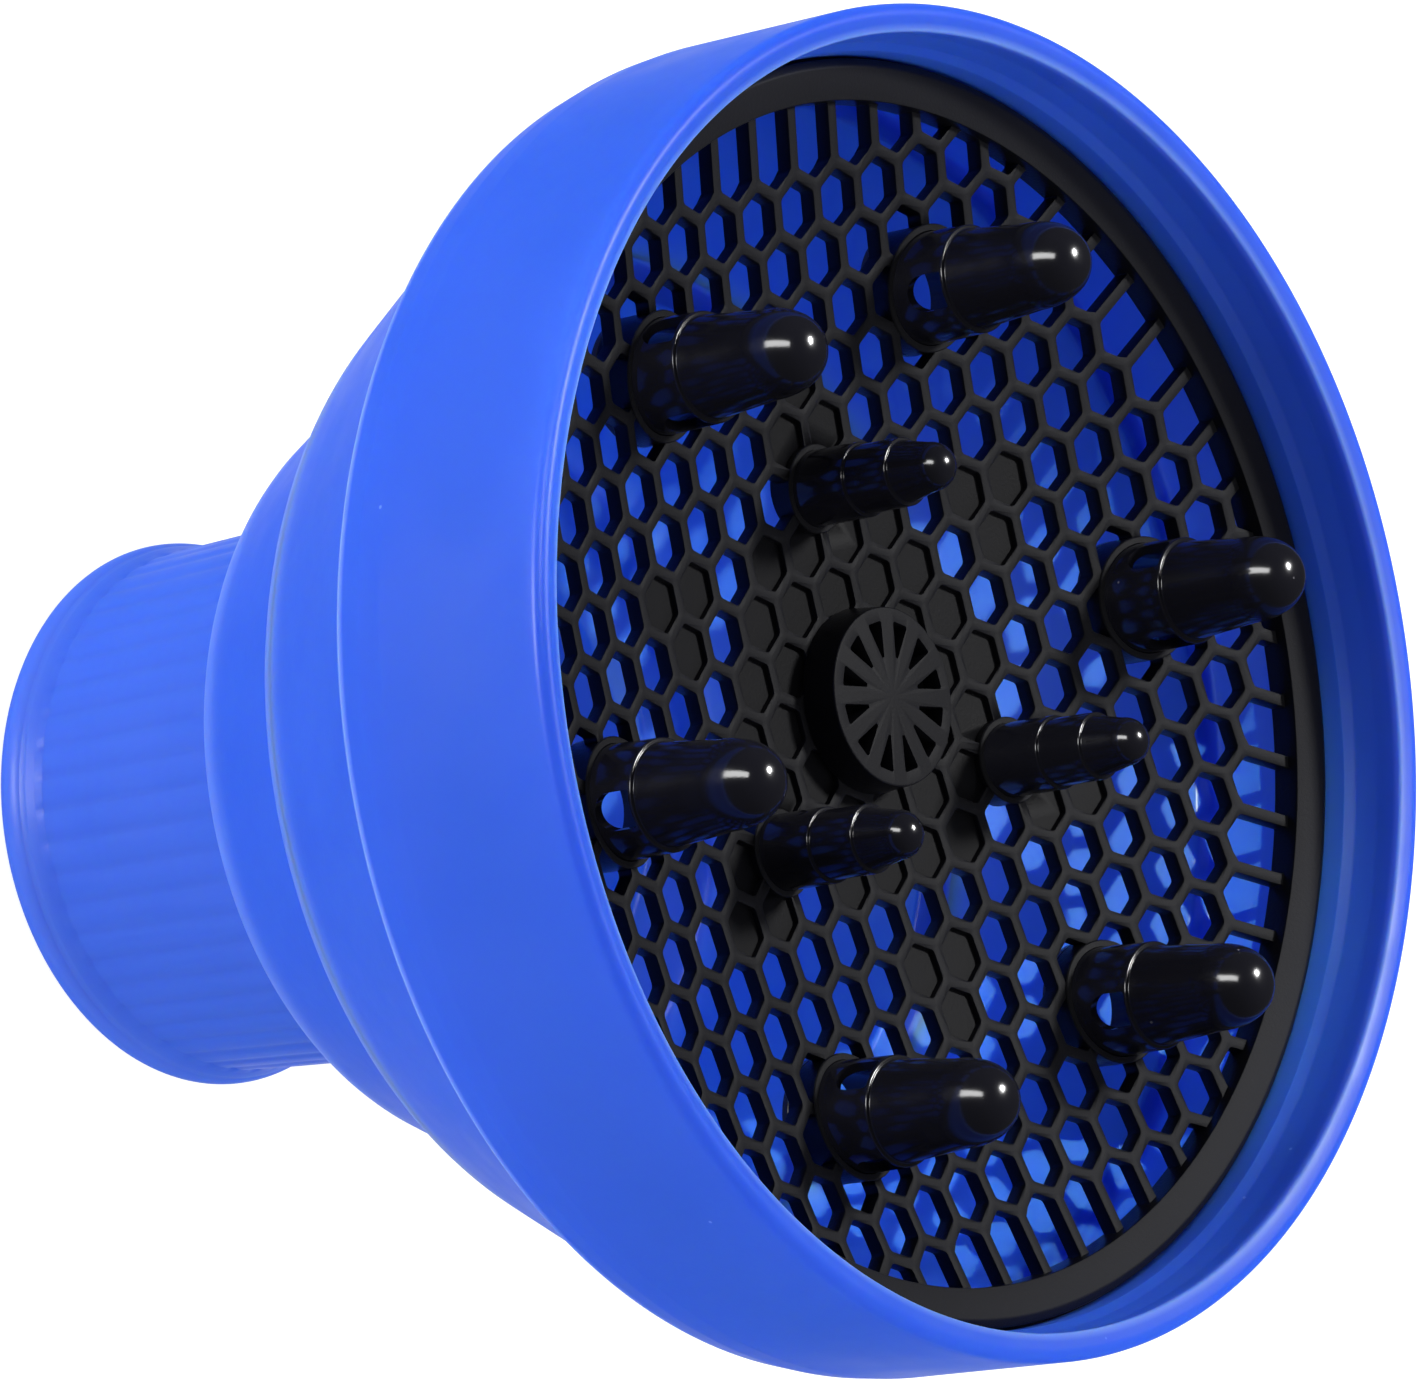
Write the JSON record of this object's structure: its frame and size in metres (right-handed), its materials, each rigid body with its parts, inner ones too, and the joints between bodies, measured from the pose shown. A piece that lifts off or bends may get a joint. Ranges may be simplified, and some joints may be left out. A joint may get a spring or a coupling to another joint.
{
  "type": "hair dryer diffuser",
  "caption": "Collapsible hair dryer diffuser: soft stepped bell on a ribbed neck sleeve, holding a dished honeycomb grille with hollow and stepped round-nosed fingers.",
  "frame": {"origin": "centre of the neck's mouth, on the plane of the neck's end", "axes": "+Z along the centreline from the dryer to the hair, +X through one of the large fingers"},
  "size_m": [0.151, 0.151, 0.1333],
  "materials": {
    "silicone": "satin",
    "grille": "fine grain",
    "finger": "gloss"
  },
  "bodies": {
    "neck": {"neck_sleeve": "silicone", "small_fold": "silicone"},
    "fold_ring": {"crease_ring": "silicone", "large_fold": "silicone"},
    "bowl": {"bowl_shell": "silicone", "grille_frame": "grille", "centre_rosette": "grille", "large_finger_1": "finger", "large_finger_2": "finger", "large_finger_3": "finger", "large_finger_4": "finger", "large_finger_5": "finger", "large_finger_6": "finger", "small_finger_1": "finger", "small_finger_2": "finger", "small_finger_3": "finger"}
  },
  "joints": [
    {"name": "small_fold_slide", "type": "slide", "parent": "neck", "child": "fold_ring", "axis": [0, 0, 1], "range_m": [-0.02, 0], "deforming": ["small_fold"]},
    {"name": "large_fold_slide", "type": "slide", "parent": "fold_ring", "child": "bowl", "axis": [0, 0, 1], "range_m": [-0.034, 0], "deforming": ["large_fold"]}
  ],
  "couplings": [
    {"joint": "small_fold_slide", "follows": "large_fold_slide", "ratio": 0.588}
  ]
}
